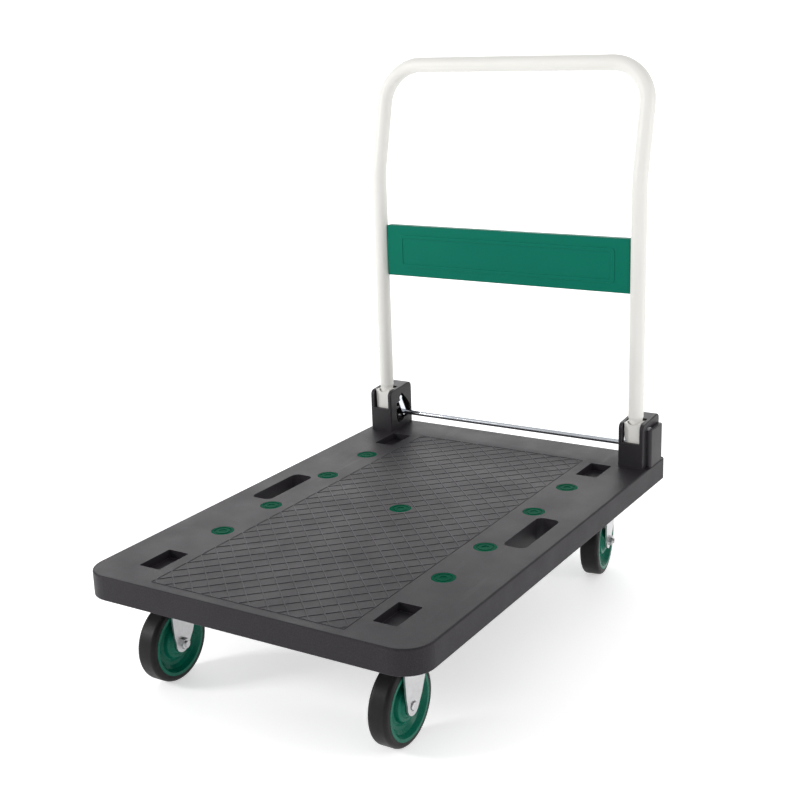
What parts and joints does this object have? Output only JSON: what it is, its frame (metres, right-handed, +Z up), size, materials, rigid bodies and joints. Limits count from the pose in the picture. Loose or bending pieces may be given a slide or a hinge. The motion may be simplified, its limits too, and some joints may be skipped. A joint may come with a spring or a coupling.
{
  "type": "folding platform cart",
  "caption": "Flat-deck hand cart with a folding tubular handle, a panel across the handle, a release bar, rigid casters in front and swivel casters at the handle.",
  "frame": {"origin": "on the ground under the middle of the deck", "axes": "+X across the deck, +Y towards the handle, +Z up"},
  "size_m": [0.61, 0.915, 0.94],
  "materials": {
    "deck_plastic": "moulded dark grey plastic with a fine grain",
    "bracket_plastic": "moulded dark grey plastic, slightly smoother",
    "green_cap": "semi-gloss green",
    "green_enamel": "satin green enamel",
    "white_enamel": "semi-gloss off-white enamel",
    "chrome": "bright plating",
    "zinc": "zinc-plated pressed steel",
    "spring_steel": "bright drawn wire",
    "nylon": "natural nylon",
    "tyre_rubber": "smooth dark rubber",
    "black_rubber": "soft black rubber",
    "green_hub": "semi-gloss green plastic"
  },
  "bodies": {
    "base": {"platform_deck": "deck_plastic", "snap_caps": "green_cap", "left_bracket_housing": "bracket_plastic", "left_bracket_cover": "bracket_plastic", "left_pivot_pin": "zinc", "right_bracket_housing": "bracket_plastic", "right_bracket_cover": "bracket_plastic", "right_pivot_pin": "zinc", "bracket_bolts": "zinc", "bracket_nuts": "zinc", "handle_stops": "black_rubber", "lever_pins": "chrome", "latch_springs": "spring_steel", "front_left_caster_plate": "zinc", "front_left_fork": "zinc", "front_right_caster_plate": "zinc", "front_right_fork": "zinc", "front_axle_bolts": "zinc", "front_axle_nuts": "zinc", "front_axle_sleeves": "zinc", "rear_left_caster_plate": "zinc", "rear_right_caster_plate": "zinc", "rear_kingpins": "zinc", "caster_bolts": "zinc", "caster_inserts": "zinc"},
    "handle": {"handle_tube": "white_enamel", "left_handle_foot": "white_enamel", "right_handle_foot": "white_enamel", "pivot_washers": "nylon", "handle_panel": "green_enamel", "panel_rivets": "zinc"},
    "release": {"release_bar": "chrome", "left_latch_lever": "chrome", "right_latch_lever": "chrome"},
    "rear_left_swivel": {"rear_left_fork": "zinc", "rear_left_ball_ring": "spring_steel", "rear_left_axle_bolt": "zinc", "rear_left_axle_nut": "zinc", "rear_left_axle_sleeve": "zinc"},
    "rear_right_swivel": {"rear_right_fork": "zinc", "rear_right_ball_ring": "spring_steel", "rear_right_axle_bolt": "zinc", "rear_right_axle_nut": "zinc", "rear_right_axle_sleeve": "zinc"},
    "front_left_wheel": {"front_left_tyre": "tyre_rubber", "front_left_hub": "green_hub", "front_left_bushes": "nylon"},
    "front_right_wheel": {"front_right_tyre": "tyre_rubber", "front_right_hub": "green_hub", "front_right_bushes": "nylon"},
    "rear_left_wheel": {"rear_left_tyre": "tyre_rubber", "rear_left_hub": "green_hub", "rear_left_bushes": "nylon"},
    "rear_right_wheel": {"rear_right_tyre": "tyre_rubber", "rear_right_hub": "green_hub", "rear_right_bushes": "nylon"}
  },
  "joints": [
    {"name": "handle_fold", "type": "hinge", "parent": "base", "child": "handle", "pos_m": [0, 0.395, 0.27], "axis": [1, 0, 0], "range_deg": [0, 90]},
    {"name": "release_bar_swing", "type": "hinge", "parent": "base", "child": "release", "pos_m": [0, 0.409, 0.266], "axis": [-1, 0, 0], "range_deg": [0, 20], "stiffness_Nm_per_rad": 1.6, "springref_deg": -20.05, "deforming": ["latch_springs"]},
    {"name": "rear_left_swivel_turn", "type": "hinge", "parent": "base", "child": "rear_left_swivel", "pos_m": [-0.214, 0.373, 0.155], "axis": [0, 0, 1], "continuous": true},
    {"name": "rear_right_swivel_turn", "type": "hinge", "parent": "base", "child": "rear_right_swivel", "pos_m": [0.214, 0.373, 0.155], "axis": [0, 0, 1], "continuous": true},
    {"name": "front_left_wheel_spin", "type": "hinge", "parent": "base", "child": "front_left_wheel", "pos_m": [-0.2145, -0.361, 0.065], "axis": [1, 0, 0], "continuous": true},
    {"name": "front_right_wheel_spin", "type": "hinge", "parent": "base", "child": "front_right_wheel", "pos_m": [0.2145, -0.361, 0.065], "axis": [1, 0, 0], "continuous": true},
    {"name": "rear_left_wheel_spin", "type": "hinge", "parent": "rear_left_swivel", "child": "rear_left_wheel", "pos_m": [-0.20874, 0.33941, 0.065], "axis": [0.988, 0.1547, 0], "continuous": true},
    {"name": "rear_right_wheel_spin", "type": "hinge", "parent": "rear_right_swivel", "child": "rear_right_wheel", "pos_m": [0.21926, 0.33941, 0.065], "axis": [0.988, 0.1547, 0], "continuous": true}
  ]
}
